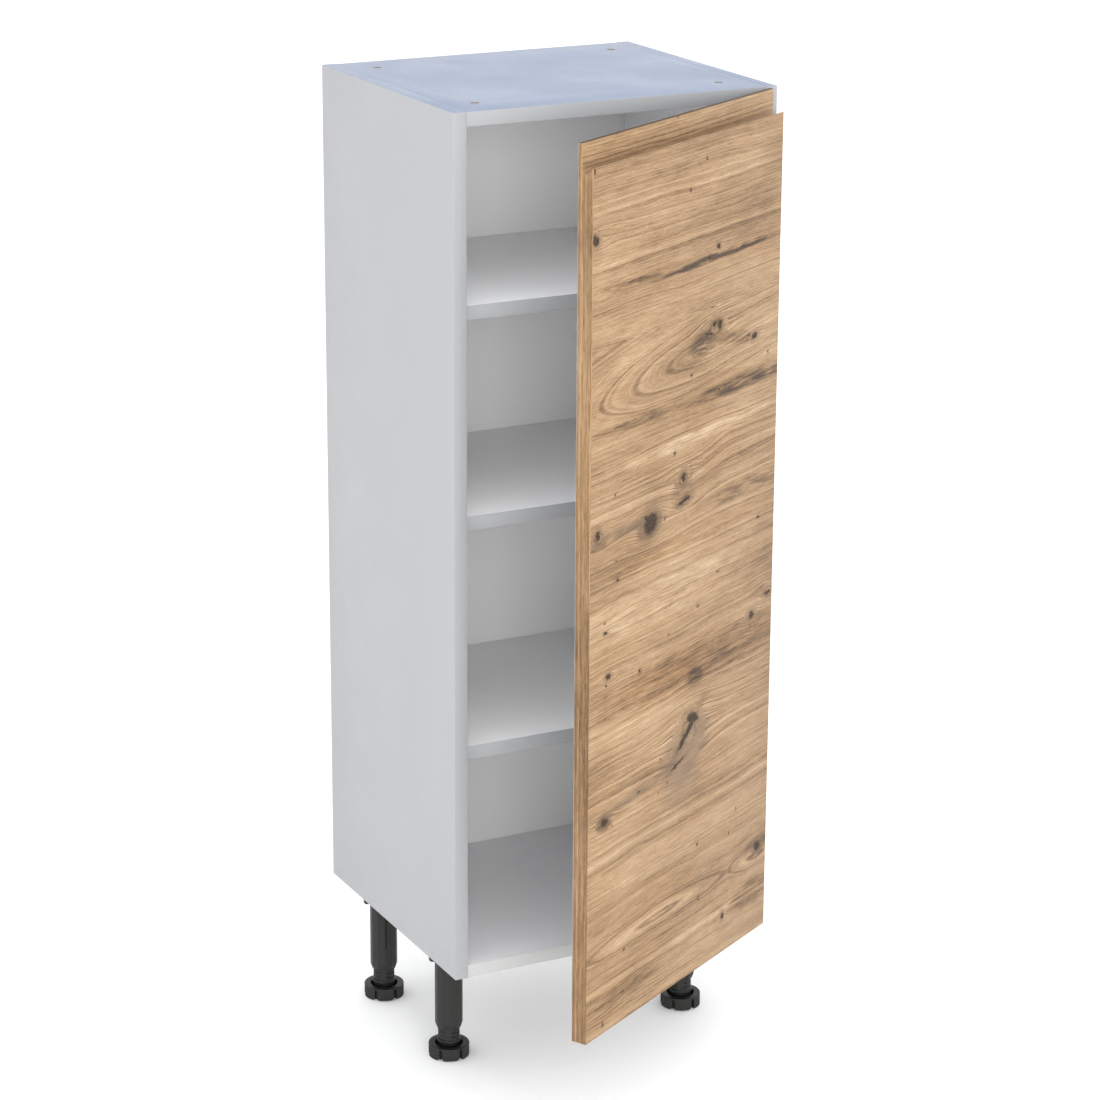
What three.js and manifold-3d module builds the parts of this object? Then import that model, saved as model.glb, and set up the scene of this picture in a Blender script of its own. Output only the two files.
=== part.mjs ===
// Tall pantry cabinet, 400 mm wide, on four levelling legs, with one J-pull
// door hinged on the right by two concealed hinges. Millimetres, +Z up.
// Origin: floor level, centre of the overall bounding box with the door open.
// +X to the right of someone facing the cabinet, +Y to the back.
//
// The carcass is drawn in its own coordinates (x = 0 on its centre plane,
// y = 0 on its front edges, z = 0 on its underside) inside one group, and the
// door pieces in closed-door coordinates inside a second group that turns
// about the swing axis.

import * as THREE from 'three';
import { mergeVertices } from 'three/addons/utils/BufferGeometryUtils.js';
import Module from 'manifold-3d';

const wasm = await Module();
wasm.setup();

// ---------------------------------------------------------------- dimensions

const CARCASS_W = 400;
const CARCASS_D = 350;
const CARCASS_H = 1004;
const BOARD = 16;                     // melamine-faced chipboard
const HALF_W = CARCASS_W / 2;
const INNER_X = HALF_W - BOARD;       // inner faces of the side panels
const TOP_BACK_SET = 3;               // top and bottom end this far short of the back

const BACK_Y = 326.6;                 // front face of the back panel
const BACK_T = 3;                     // hardboard
const GROOVE_DEPTH = 8;
const GROOVE_GAP = 0.3;               // play of the back panel in its grooves
const BACK_IN_GROOVE = 7;

const SHELF_TOPS = { lower: 278.4, middle: 549.5, upper: 789.0 };
const SHELF_FRONT_Y = 12.3;
const SHELF_BACK_Y = 326.0;
const SHELF_X = 183;                  // half length, 1 mm play at each end
const PIN_YS = { front: 50, back: 290 };
const PIN_R = 2.45;
const PIN_HOLE_R = 2.6;
const PIN_DEPTH = 8.5;
const PIN_HOLE_DEPTH = 9.5;

const CAM_X = 151.5;
const CAM_YS = { front: 47, back: 302.6 };
const CAM_R = 4.7;
const CAM_HOLE_R = 5.1;
const CAM_LEN = 11.5;
const CAM_HOLE_DEPTH = 12.5;
const CAM_SUNK = 0.4;                 // cams sit a little below the board's face

const LEG_X = 157.7;
const LEG_YS = { front: 107.7, back: 294.3 };
const LEG_H = 148;                    // floor to the carcass's underside
const TUBE_R = 16.5;
const TUBE_BORE_R = 13.8;
const TUBE_TOP = -3.6;
const TUBE_END = -111;
const TUBE_CHAMFER = 5;
const TUBE_BORE_TOP = -30;
const STEM_R = 13.2;
const STEM_TOP = -62;
const COLLAR_R = 14.4;
const COLLAR_TOP = -126;
const COLLAR_T = 2.8;
const RIM_R = 24.25;
const RIM_TOP = -132.1;
const CHANNEL_R = 16.4;
const CHANNEL_FLOOR = -141;
const SLOT_W = 4;
const SLOT_TOP = -134;
const SLOT_ROOT_R = 19.2;
const SLOT_ANGLE = -78.7;             // degrees, one of six slots
const FLANGE_R = 29;
const FLANGE_T = 3.2;
const SOCKET_R = 19.9;
const SOCKET_BORE_R = 16.8;
const SOCKET_END = -14;
const EAR_X = 33;                     // three round lugs, two at the sides towards the front
const EAR_Y = 27;
const EAR_R = 5;
const EAR_END = -10.5;

const DOOR_HALF_W = 198;
const DOOR_T = 19;
const DOOR_BACK_Y = -2;               // back face, closed
const DOOR_BOTTOM = 0.9;
const DOOR_TOP = 1002.6;
const DOOR_OPEN_DEG = 30;
const SWING_X = 193.6;                // vertical swing axis
const SWING_Y = -19.8;

const HINGE_ZS = { lower: 100, upper: 904 };
const CUP_X = 175.5;                  // cup centre, closed
const CUP_R = 17.4;
const CUP_INNER_R = 16;
const CUP_HOLE_R = 17.8;
const CUP_DEPTH = 12;
const CUP_HOLE_DEPTH = 12.8;
const CUP_SCREW_X = 166;
const CUP_SCREW_Z = 22.5;
const LINK_X = 182;                   // link pivot in the cup, closed
const LINK_Y = -7;
const LINK_PIN_R = 1.5;
const LINK_BORE_R = 1.9;
const PLATE_Y = 37;                   // mounting plate screws behind the front edge
const PLATE_SCREW_Z = 16;
const ARM_WEB_X = 158.7;

const SEG = 14;                       // sides of small round features
const LEG_SEG = 24;                   // sides of the legs' round shapes

// ------------------------------------------------------------------- colours

const white = () => new THREE.MeshStandardMaterial({ color: 0xd9dbdd, roughness: 0.45, metalness: 0 });
const backWhite = () => new THREE.MeshStandardMaterial({ color: 0xd2d3d4, roughness: 0.6, metalness: 0 });
const oak = () => new THREE.MeshStandardMaterial({ color: 0xc6a987, roughness: 0.6, metalness: 0 });
const blackPlastic = () => new THREE.MeshStandardMaterial({ color: 0x3c3c3a, roughness: 0.55, metalness: 0 });
const steel = () => new THREE.MeshStandardMaterial({ color: 0xc4c6c8, roughness: 0.3, metalness: 1 });
const zinc = () => new THREE.MeshStandardMaterial({ color: 0x8c8f93, roughness: 0.4, metalness: 1 });

// ------------------------------------------------------------------- helpers

function solid(geometry) {
  const g = geometry.clone();
  g.deleteAttribute('normal');
  g.deleteAttribute('uv');
  const m = mergeVertices(g.index ? g : g, 1e-4);
  return new wasm.Manifold(new wasm.Mesh({
    numProp: 3,
    vertProperties: new Float32Array(m.attributes.position.array),
    triVerts: new Uint32Array(m.index.array),
  }));
}

function geometryOf(manifold) {
  const mesh = manifold.getMesh();
  const out = new THREE.BufferGeometry();
  const pos = new Float32Array(mesh.numVert * 3);
  for (let i = 0; i < mesh.numVert; i++) {
    for (let k = 0; k < 3; k++) pos[3 * i + k] = mesh.vertProperties[i * mesh.numProp + k];
  }
  out.setAttribute('position', new THREE.BufferAttribute(pos, 3));
  out.setIndex(new THREE.BufferAttribute(new Uint32Array(mesh.triVerts), 1));
  out.computeVertexNormals();
  return out;
}

function box(x0, x1, y0, y1, z0, z1) {
  const g = new THREE.BoxGeometry(x1 - x0, y1 - y0, z1 - z0);
  g.translate((x0 + x1) / 2, (y0 + y1) / 2, (z0 + z1) / 2);
  return solid(g);
}

// cylinder between two heights of an axis, through (a, b) of the other two
function cyl(axis, a, b, lo, hi, r, seg = SEG) {
  const g = new THREE.CylinderGeometry(r, r, hi - lo, seg);
  if (axis === 'z') { g.rotateX(Math.PI / 2); g.translate(a, b, (lo + hi) / 2); }
  if (axis === 'x') { g.rotateZ(Math.PI / 2); g.translate((lo + hi) / 2, a, b); }
  if (axis === 'y') { g.translate(a, (lo + hi) / 2, b); }
  return solid(g);
}

// solid of revolution about +Z from [radius, height] pairs, first and last on
// the axis or the profile closed on itself
function turned(profile, seg) {
  const g = new THREE.LatheGeometry(profile.map(([r, z]) => new THREE.Vector2(r, z)), seg);
  g.rotateX(Math.PI / 2);
  return solid(g);
}

function outlineXY(points, z0, z1, holes = []) {
  const shape = new THREE.Shape(points.map(([x, y]) => new THREE.Vector2(x, y)));
  for (const h of holes) shape.holes.push(new THREE.Path(h.map(([x, y]) => new THREE.Vector2(x, y))));
  const g = new THREE.ExtrudeGeometry(shape, { depth: z1 - z0, bevelEnabled: false, curveSegments: 12 });
  g.translate(0, 0, z0);
  return solid(g);
}

function circle(cx, cy, r, seg) {
  return Array.from({ length: seg }, (_, i) => {
    const a = (2 * Math.PI * i) / seg;
    return [cx + r * Math.cos(a), cy + r * Math.sin(a)];
  });
}

const object = new THREE.Group();
const carcass = new THREE.Group();
const door = new THREE.Group();

function put(parent, name, manifoldSolid, material) {
  const mesh = new THREE.Mesh(geometryOf(manifoldSolid), material);
  mesh.name = name;
  parent.add(mesh);
  return mesh;
}

// ------------------------------------------------------------ carcass boards

function sidePanel(sign) {
  const x0 = sign < 0 ? -HALF_W : INNER_X;
  let s = box(x0, x0 + BOARD, 0, CARCASS_D, 0, CARCASS_H);
  const inner = sign * INNER_X;
  const cut = (lo, hi) => (sign < 0 ? [inner - hi, inner - lo] : [inner + lo, inner + hi]);
  const [g0, g1] = cut(-1, GROOVE_DEPTH);
  s = s.subtract(box(g0, g1, BACK_Y - GROOVE_GAP, BACK_Y + BACK_T + GROOVE_GAP,
    BOARD - GROOVE_DEPTH, CARCASS_H - BOARD + GROOVE_DEPTH));
  for (const top of Object.values(SHELF_TOPS)) {
    for (const y of Object.values(PIN_YS)) {
      const [h0, h1] = cut(-1, PIN_HOLE_DEPTH);
      s = s.subtract(cyl('x', y, top - BOARD - 3, h0, h1, PIN_HOLE_R));
    }
  }
  if (sign > 0) {
    for (const hz of Object.values(HINGE_ZS)) {
      for (const dz of [-PLATE_SCREW_Z, PLATE_SCREW_Z]) {
        s = s.subtract(cyl('x', PLATE_Y, hz + dz, inner - 1, inner + 12, 2));
      }
    }
  }
  return s;
}

function horizontalPanel(z0, camFromTop) {
  let s = box(-INNER_X, INNER_X, 0, CARCASS_D - TOP_BACK_SET, z0, z0 + BOARD);
  const gz = camFromTop ? [z0 - 1, z0 + GROOVE_DEPTH] : [z0 + BOARD - GROOVE_DEPTH, z0 + BOARD + 1];
  s = s.subtract(box(-INNER_X - 1, INNER_X + 1, BACK_Y - GROOVE_GAP, BACK_Y + BACK_T + GROOVE_GAP, gz[0], gz[1]));
  for (const x of [-CAM_X, CAM_X]) {
    for (const y of Object.values(CAM_YS)) {
      const span = camFromTop ? [z0 + BOARD - CAM_HOLE_DEPTH, z0 + BOARD + 1] : [z0 - 1, z0 + CAM_HOLE_DEPTH];
      s = s.subtract(cyl('z', x, y, span[0], span[1], CAM_HOLE_R));
    }
  }
  return s;
}

put(carcass, 'side_panel_left', sidePanel(-1), white());
put(carcass, 'side_panel_right', sidePanel(1), white());
put(carcass, 'top_panel', horizontalPanel(CARCASS_H - BOARD, true), white());
put(carcass, 'bottom_panel', horizontalPanel(0, false), white());
put(carcass, 'back_panel', box(
  -(INNER_X + BACK_IN_GROOVE), INNER_X + BACK_IN_GROOVE,
  BACK_Y, BACK_Y + BACK_T,
  BOARD - BACK_IN_GROOVE, CARCASS_H - BOARD + BACK_IN_GROOVE), backWhite());

for (const [level, top] of Object.entries(SHELF_TOPS)) {
  put(carcass, `shelf_${level}`, box(-SHELF_X, SHELF_X, SHELF_FRONT_Y, SHELF_BACK_Y, top - BOARD, top), white());
}

// Shelf pins: a round peg in the side panel and a flat tongue under the shelf.
for (const [level, top] of Object.entries(SHELF_TOPS)) {
  for (const [side, sign] of [['left', -1], ['right', 1]]) {
    for (const [where, y] of Object.entries(PIN_YS)) {
      const z = top - BOARD;
      const span = (lo, hi) => (sign < 0 ? [-hi, -lo] : [lo, hi]);
      const [a0, a1] = span(INNER_X - 0.2, INNER_X + PIN_DEPTH);
      const [b0, b1] = span(INNER_X - 10, INNER_X);
      const [c0, c1] = span(INNER_X - 1.4, INNER_X);
      const pin = cyl('x', y, z - 3, a0, a1, PIN_R)
        .add(box(b0, b1, y - 4.5, y + 4.5, z - 2.2, z))
        .add(cyl('x', y, z - 4.6, c0, c1, 4.5));
      put(carcass, `shelf_pin_${level}_${where}_${side}`, pin, steel());
    }
  }
}

// Cam fittings that lock the top and bottom panels to the sides.
for (const [level, up] of [['top', true], ['bottom', false]]) {
  for (const [side, sign] of [['left', -1], ['right', 1]]) {
    for (const [where, y] of Object.entries(CAM_YS)) {
      const x = sign * CAM_X;
      const face = up ? CARCASS_H - CAM_SUNK : CAM_SUNK;
      const d = up ? -1 : 1;
      const lo = Math.min(face, face + d * CAM_LEN);
      const hi = Math.max(face, face + d * CAM_LEN);
      const cam = cyl('z', x, y, lo, hi, CAM_R);
      put(carcass, `cam_${level}_${where}_${side}`, cam, zinc());
    }
  }
}

// ---------------------------------------------------------------------- legs

function legFlange() {
  let s = turned([[0, -FLANGE_T], [FLANGE_R, -FLANGE_T], [FLANGE_R, 0], [0, 0]], LEG_SEG);
  s = s.add(turned([[0, SOCKET_END], [SOCKET_R, SOCKET_END], [SOCKET_R, -1], [0, -1]], LEG_SEG));
  for (const [cx, cy] of [[-EAR_X, -EAR_Y], [EAR_X, -EAR_Y], [0, Math.hypot(EAR_X, EAR_Y)]]) {
    const ear = turned([[0, EAR_END], [EAR_R - 2, EAR_END], [EAR_R, EAR_END + 2.4], [EAR_R, 0], [0, 0]], 12).translate(cx, cy, 0);
    const len = Math.hypot(cx, cy);
    const ux = cx / len;
    const uy = cy / len;
    const w = EAR_R;
    const bar = outlineXY([
      [-uy * w, ux * w], [uy * w, -ux * w],
      [cx + uy * w, cy - ux * w], [cx - uy * w, cy + ux * w],
    ], -FLANGE_T, 0);
    s = s.add(ear).add(bar);
  }
  return s.subtract(turned([[0, SOCKET_END - 1], [SOCKET_BORE_R, SOCKET_END - 1], [SOCKET_BORE_R, -FLANGE_T], [0, -FLANGE_T]], LEG_SEG));
}

function legTube() {
  return turned([
    [0, TUBE_TOP], [TUBE_R, TUBE_TOP],
    [TUBE_R, TUBE_END + TUBE_CHAMFER], [TUBE_BORE_R + 0.9, TUBE_END], [TUBE_BORE_R, TUBE_END],
    [TUBE_BORE_R, TUBE_BORE_TOP], [0, TUBE_BORE_TOP],
  ].reverse(), LEG_SEG);
}

function legFoot() {
  let s = turned([
    [0, -LEG_H + 3], [15, -LEG_H + 3], [16, -LEG_H], [RIM_R - 0.8, -LEG_H], [RIM_R, -LEG_H + 0.8],
    [RIM_R, RIM_TOP - 0.6], [RIM_R - 0.6, RIM_TOP], [CHANNEL_R, RIM_TOP], [CHANNEL_R, CHANNEL_FLOOR],
    [STEM_R, CHANNEL_FLOOR], [STEM_R, COLLAR_TOP - COLLAR_T], [COLLAR_R, COLLAR_TOP - COLLAR_T + 0.4],
    [COLLAR_R, COLLAR_TOP - 0.4], [STEM_R, COLLAR_TOP], [STEM_R, STEM_TOP - 1], [STEM_R - 1, STEM_TOP], [0, STEM_TOP],
  ], LEG_SEG);
  for (let i = 0; i < 6; i++) {
    const g = new THREE.BoxGeometry(10, SLOT_W, SLOT_TOP - (-LEG_H) + 2);
    g.translate(SLOT_ROOT_R + 5, 0, (SLOT_TOP + (-LEG_H)) / 2 - 1);
    g.rotateZ(((SLOT_ANGLE + 60 * i) * Math.PI) / 180);
    s = s.subtract(solid(g));
  }
  return s;
}

const flangeSolid = legFlange();
const tubeSolid = legTube();
const footSolid = legFoot();
for (const [where, y] of Object.entries(LEG_YS)) {
  for (const [side, sign] of [['left', -1], ['right', 1]]) {
    const x = sign * LEG_X;
    put(carcass, `leg_socket_${where}_${side}`, flangeSolid, blackPlastic()).position.set(x, y, 0);
    put(carcass, `leg_tube_${where}_${side}`, tubeSolid, blackPlastic()).position.set(x, y, 0);
    put(carcass, `leg_foot_${where}_${side}`, footSolid, blackPlastic()).position.set(x, y, 0);
  }
}

// ------------------------------------------------- hinge parts on the carcass

for (const [level, hz] of Object.entries(HINGE_ZS)) {
  // mounting plate: wings for the screws and a raised bridge under the arm
  let plate = box(INNER_X - 2.5, INNER_X, PLATE_Y - 11, PLATE_Y + 26, hz - 7, hz + 7)
    .add(box(INNER_X - 2.5, INNER_X, PLATE_Y - 7, PLATE_Y + 7, hz - 23, hz + 23))
    .add(box(INNER_X - 8, INNER_X, PLATE_Y - 9, PLATE_Y + 24, hz - 6.6, hz + 6.6));
  for (const dz of [-PLATE_SCREW_Z, PLATE_SCREW_Z]) {
    plate = plate.subtract(cyl('x', PLATE_Y, hz + dz, INNER_X - 4, INNER_X + 1, 2));
  }
  put(carcass, `hinge_plate_${level}`, plate, steel());

  // arm: a channel open towards the side panel
  const armOuter = box(ARM_WEB_X, INNER_X - 2.9, 6, 70, hz - 9.8, hz + 9.8);
  const armInner = box(ARM_WEB_X + 1.5, INNER_X, 5, 66, hz - 8.2, hz + 8.2);
  const armNose = outlineXY([[INNER_X, 5], [INNER_X - 2, 5], [INNER_X - 10, 14], [INNER_X, 14]].map(([x, y]) => [x + 2, y - 1]), hz - 12, hz + 12);
  put(carcass, `hinge_arm_${level}`, armOuter.subtract(armInner).subtract(armNose), steel());

  for (const [end, dz] of [['bottom', -PLATE_SCREW_Z], ['top', PLATE_SCREW_Z]]) {
    const screw = cyl('x', PLATE_Y, hz + dz, INNER_X - 4.6, INNER_X - 2.8, 3.6)
      .add(cyl('x', PLATE_Y, hz + dz, INNER_X - 3.2, INNER_X + 10.5, 1.6, 10));
    put(carcass, `hinge_plate_screw_${level}_${end}`, screw, zinc());
  }
}

// ---------------------------------------------------------------------- door

// Door section: distance from the back face towards the front, and height.
const LIP = [
  [0, 0], [5.6, 0], [5.3, -27], [6.2, -29.4], [8, -30.9], [9.8, -31.5],
  [12.1, -30.3], [15.1, -28.1], [17.2, -25.7], [18.3, -24.5], [19, -24.7],
];

function doorPanel() {
  const outline = [[0, DOOR_BOTTOM], ...LIP.map(([s, z]) => [s, DOOR_TOP + z]), [DOOR_T, DOOR_BOTTOM]];
  const shape = new THREE.Shape(outline.map(([s, z]) => new THREE.Vector2(s, z)));
  const g = new THREE.ExtrudeGeometry(shape, { depth: 2 * DOOR_HALF_W, bevelEnabled: false });
  // shape x (depth from the back face) -> -y, shape y -> z, extrusion -> x
  const m = new THREE.Matrix4().makeBasis(
    new THREE.Vector3(0, -1, 0), new THREE.Vector3(0, 0, 1), new THREE.Vector3(-1, 0, 0));
  g.applyMatrix4(m);
  g.translate(DOOR_HALF_W, DOOR_BACK_Y, 0);
  let s = solid(g);
  for (const hz of Object.values(HINGE_ZS)) {
    s = s.subtract(cyl('y', CUP_X, hz, DOOR_BACK_Y - CUP_HOLE_DEPTH, DOOR_BACK_Y + 1, CUP_HOLE_R, 28));
    for (const dz of [-CUP_SCREW_Z, CUP_SCREW_Z]) {
      s = s.subtract(cyl('y', CUP_SCREW_X, hz + dz, DOOR_BACK_Y - 10, DOOR_BACK_Y + 1, 1.9, 10));
    }
  }
  return s;
}

put(door, 'door_panel', doorPanel(), oak());

for (const [level, hz] of Object.entries(HINGE_ZS)) {
  // cup: a pot sunk in the door, a thin flange on its back, and the link's pin
  const f0 = DOOR_BACK_Y + 0.3;
  const f1 = f0 + 1;
  const flange = cyl('y', CUP_X, hz, f0, f1, CUP_R + 1.6, 28)
    .add(box(CUP_SCREW_X - 6.5, CUP_SCREW_X + 6.5, f0, f1, hz - 28, hz + 28));
  let cup = cyl('y', CUP_X, hz, DOOR_BACK_Y - CUP_DEPTH, f1, CUP_R, 28).add(flange)
    .subtract(cyl('y', CUP_X, hz, DOOR_BACK_Y - CUP_DEPTH + 1, f1 + 1, CUP_INNER_R, 28))
    .add(cyl('z', LINK_X, LINK_Y, hz - 15, hz + 15, LINK_PIN_R, 12));
  for (const dz of [-CUP_SCREW_Z, CUP_SCREW_Z]) {
    cup = cup.subtract(cyl('y', CUP_SCREW_X, hz + dz, f0 - 1, f1 + 1, 2, 10));
  }
  put(door, `hinge_cup_${level}`, cup, steel());

  for (const [end, dz] of [['bottom', -CUP_SCREW_Z], ['top', CUP_SCREW_Z]]) {
    const screw = cyl('y', CUP_SCREW_X, hz + dz, f1 + 0.3, f1 + 1.7, 3.6)
      .add(cyl('y', CUP_SCREW_X, hz + dz, DOOR_BACK_Y - 9.3, f1 + 0.6, 1.6, 10));
    put(door, `hinge_cup_screw_${level}_${end}`, screw, zinc());
  }
}

// The link keeps its direction while the door turns, so it is drawn where its
// pivot is with the door at its rest angle. An eye on the cup's pin, a slanted
// neck out of the cup, and a bar that slides along inside the arm.
const open = (DOOR_OPEN_DEG * Math.PI) / 180;
const bx = LINK_X - SWING_X;
const by = LINK_Y - SWING_Y;
const pivotX = SWING_X + bx * Math.cos(open) - by * Math.sin(open);
const pivotY = SWING_Y + bx * Math.sin(open) + by * Math.cos(open);

for (const [level, hz] of Object.entries(HINGE_ZS)) {
  const arm = outlineXY([
    [-1.2, -2.6], [-12.2, 1.6], [-15, 4.6], [-15, 52], [-11, 52], [-11, 5.6], [1.4, 1.6],
  ].map(([x, y]) => [pivotX + x, pivotY + y]), hz - 5, hz + 5);
  const eye = cyl('z', pivotX, pivotY, hz - 5, hz + 5, 4);
  const bore = cyl('z', pivotX, pivotY, hz - 6, hz + 6, LINK_BORE_R);
  put(carcass, `hinge_link_${level}`, arm.add(eye).subtract(bore), steel());
}

// ------------------------------------------------------------------ assembly

// Front-most point of the open door: the front corner of its free edge.
const fx = -DOOR_HALF_W - SWING_X;
const fy = DOOR_BACK_Y - DOOR_T - SWING_Y;
const frontY = SWING_Y + fx * Math.sin(open) + fy * Math.cos(open);
const CENTRE_Y = (CARCASS_D + frontY) / 2;

const turn = new THREE.Group();
door.position.set(-SWING_X, -SWING_Y, 0);
turn.add(door);
turn.rotation.z = open;
turn.position.set(SWING_X, SWING_Y, 0);

carcass.add(turn);
carcass.position.set(0, -CENTRE_Y, LEG_H);
object.add(carcass);

export default object;
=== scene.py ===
import math
import bpy
import bmesh
from mathutils import Vector, Matrix
from mathutils.geometry import tessellate_polygon


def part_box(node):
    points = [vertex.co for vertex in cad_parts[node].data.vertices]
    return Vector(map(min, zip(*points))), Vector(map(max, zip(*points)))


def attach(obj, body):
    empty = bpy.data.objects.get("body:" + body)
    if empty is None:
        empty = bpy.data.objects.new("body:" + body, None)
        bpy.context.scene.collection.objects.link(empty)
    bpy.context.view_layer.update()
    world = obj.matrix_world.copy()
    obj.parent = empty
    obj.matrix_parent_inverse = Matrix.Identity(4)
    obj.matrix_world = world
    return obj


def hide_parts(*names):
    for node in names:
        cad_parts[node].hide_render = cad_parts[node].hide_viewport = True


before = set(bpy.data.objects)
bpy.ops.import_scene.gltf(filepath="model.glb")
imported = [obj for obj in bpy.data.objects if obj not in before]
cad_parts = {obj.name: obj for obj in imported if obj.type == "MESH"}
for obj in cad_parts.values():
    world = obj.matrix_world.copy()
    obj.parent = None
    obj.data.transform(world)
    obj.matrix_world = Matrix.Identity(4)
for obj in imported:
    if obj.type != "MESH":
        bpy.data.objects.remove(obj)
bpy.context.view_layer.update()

MM = 0.001

# ------------------------------------------------------------------ the frame
# Carcass coordinates in mm (x from the centre plane, y from the front edges,
# z from the underside) to the row frame in metres.
_lo, _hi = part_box("side_panel_left")
X0 = _lo.x + 0.200
Y0 = _lo.y
Z0 = _lo.z


def C(x, y, z):
    return Vector((X0 + x * MM, Y0 + y * MM, Z0 + z * MM))


CARCASS = Matrix.Translation((X0, Y0, Z0))
SWING_X, SWING_Y, OPEN = 193.6, -19.8, math.radians(30)
# closed-door coordinates, in metres from the swing axis
DOOR = Matrix.Translation(C(SWING_X, SWING_Y, 0)) @ Matrix.Rotation(OPEN, 4, "Z")
HINGES = {"lower": 100.0, "upper": 904.0}
LEGS = {("front", "left"): (-157.7, 107.7), ("front", "right"): (157.7, 107.7),
        ("back", "left"): (-157.7, 294.3), ("back", "right"): (157.7, 294.3)}


def srgb(r, g, b):
    f = lambda c: c / 12.92 if c <= 0.04045 else ((c + 0.055) / 1.055) ** 2.4
    return (f(r / 255), f(g / 255), f(b / 255), 1.0)


# ------------------------------------------------------------- node shorthand
class Graph:
    """Short names for the shader nodes used here."""

    def __init__(self, name):
        self.mat = bpy.data.materials.new(name)
        self.mat.use_nodes = True
        self.t = self.mat.node_tree
        self.t.nodes.clear()
        self.out = self.t.nodes.new("ShaderNodeOutputMaterial")
        self.bsdf = self.t.nodes.new("ShaderNodeBsdfPrincipled")
        self.t.links.new(self.bsdf.outputs["BSDF"], self.out.inputs["Surface"])
        tc = self.t.nodes.new("ShaderNodeTexCoord")
        self.obj = tc.outputs["Object"]

    def set(self, socket, value):
        if isinstance(value, bpy.types.NodeSocket):
            self.t.links.new(value, socket)
        else:
            socket.default_value = value

    def op(self, kind, a, b=None, c=None, clamp=False):
        n = self.t.nodes.new("ShaderNodeMath")
        n.operation = kind
        n.use_clamp = clamp
        self.set(n.inputs[0], a)
        if b is not None:
            self.set(n.inputs[1], b)
        if c is not None:
            self.set(n.inputs[2], c)
        return n.outputs[0]

    def add(self, a, b): return self.op("ADD", a, b)
    def sub(self, a, b): return self.op("SUBTRACT", a, b)
    def mul(self, a, b): return self.op("MULTIPLY", a, b)
    def div(self, a, b): return self.op("DIVIDE", a, b)
    def mn(self, a, b): return self.op("MINIMUM", a, b)
    def mx(self, a, b): return self.op("MAXIMUM", a, b)
    def ma(self, a, b, c): return self.op("MULTIPLY_ADD", a, b, c)

    def vec(self, kind, a, b=None):
        n = self.t.nodes.new("ShaderNodeVectorMath")
        n.operation = kind
        self.set(n.inputs[0], a)
        if b is not None:
            self.set(n.inputs[3] if kind == "SCALE" else n.inputs[1], b)
        return n.outputs["Value"] if kind in ("LENGTH", "DOT_PRODUCT") else n.outputs[0]

    def xyz(self, v):
        n = self.t.nodes.new("ShaderNodeSeparateXYZ")
        self.set(n.inputs[0], v)
        return n.outputs

    def join(self, x, y, z):
        n = self.t.nodes.new("ShaderNodeCombineXYZ")
        for s, v in zip(n.inputs, (x, y, z)):
            self.set(s, v)
        return n.outputs[0]

    def ellipse(self, v, cx, cy, w, h, rot=0.0):
        """Squared distance from (cx, cy) in the units of a turned ellipse."""
        d = self.vec("SUBTRACT", v, (cx, cy, 0))
        if not rot:
            e = self.vec("MULTIPLY", d, (1 / w, 1 / h, 0))
            return self.vec("DOT_PRODUCT", e, e)
        cr, sr = math.cos(math.radians(rot)), math.sin(math.radians(rot))
        a = self.vec("DOT_PRODUCT", d, (cr / w, sr / w, 0))
        b = self.vec("DOT_PRODUCT", d, (-sr / h, cr / h, 0))
        return self.op("MULTIPLY_ADD", a, a, self.op("MULTIPLY", b, b))

    def scale(self, v, s):
        n = self.t.nodes.new("ShaderNodeMapping")
        n.vector_type = "POINT"
        self.set(n.inputs["Vector"], v)
        n.inputs["Scale"].default_value = s
        return n.outputs[0]

    def noise(self, v, scale=1.0, detail=2.0, rough=0.5, w=None, dist=0.0, colour=False):
        n = self.t.nodes.new("ShaderNodeTexNoise")
        if w is not None:
            n.noise_dimensions = "1D"
            self.set(n.inputs["W"], w)
        else:
            self.set(n.inputs["Vector"], v)
        n.inputs["Scale"].default_value = scale
        n.inputs["Detail"].default_value = detail
        n.inputs["Roughness"].default_value = rough
        n.inputs["Distortion"].default_value = dist
        return n.outputs["Color" if colour else 0]

    def smooth(self, x, lo, hi, a=0.0, b=1.0):
        n = self.t.nodes.new("ShaderNodeMapRange")
        n.interpolation_type = "SMOOTHSTEP"
        self.set(n.inputs["Value"], x)
        n.inputs["From Min"].default_value = lo
        n.inputs["From Max"].default_value = hi
        n.inputs["To Min"].default_value = a
        n.inputs["To Max"].default_value = b
        return n.outputs[0]

    def lerp(self, x, lo, hi, a, b):
        n = self.t.nodes.new("ShaderNodeMapRange")
        self.set(n.inputs["Value"], x)
        n.inputs["From Min"].default_value = lo
        n.inputs["From Max"].default_value = hi
        n.inputs["To Min"].default_value = a
        n.inputs["To Max"].default_value = b
        return n.outputs[0]

    def ramp(self, fac, stops):
        n = self.t.nodes.new("ShaderNodeValToRGB")
        self.set(n.inputs[0], fac)
        e = n.color_ramp.elements
        while len(e) < len(stops):
            e.new(0.5)
        for k, (p, c) in zip(e, stops):
            k.position = p
            k.color = c
        return n.outputs[0]

    def mix(self, fac, a, b, blend="MIX"):
        n = self.t.nodes.new("ShaderNodeMix")
        n.data_type = "RGBA"
        n.blend_type = blend
        self.set(n.inputs[0], fac)
        self.set(n.inputs[6], a)
        self.set(n.inputs[7], b)
        return n.outputs[2]

    def choose(self, fac, a, b):
        n = self.t.nodes.new("ShaderNodeMix")
        n.data_type = "FLOAT"
        self.set(n.inputs[0], fac)
        self.set(n.inputs[2], a)
        self.set(n.inputs[3], b)
        return n.outputs[0]

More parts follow.
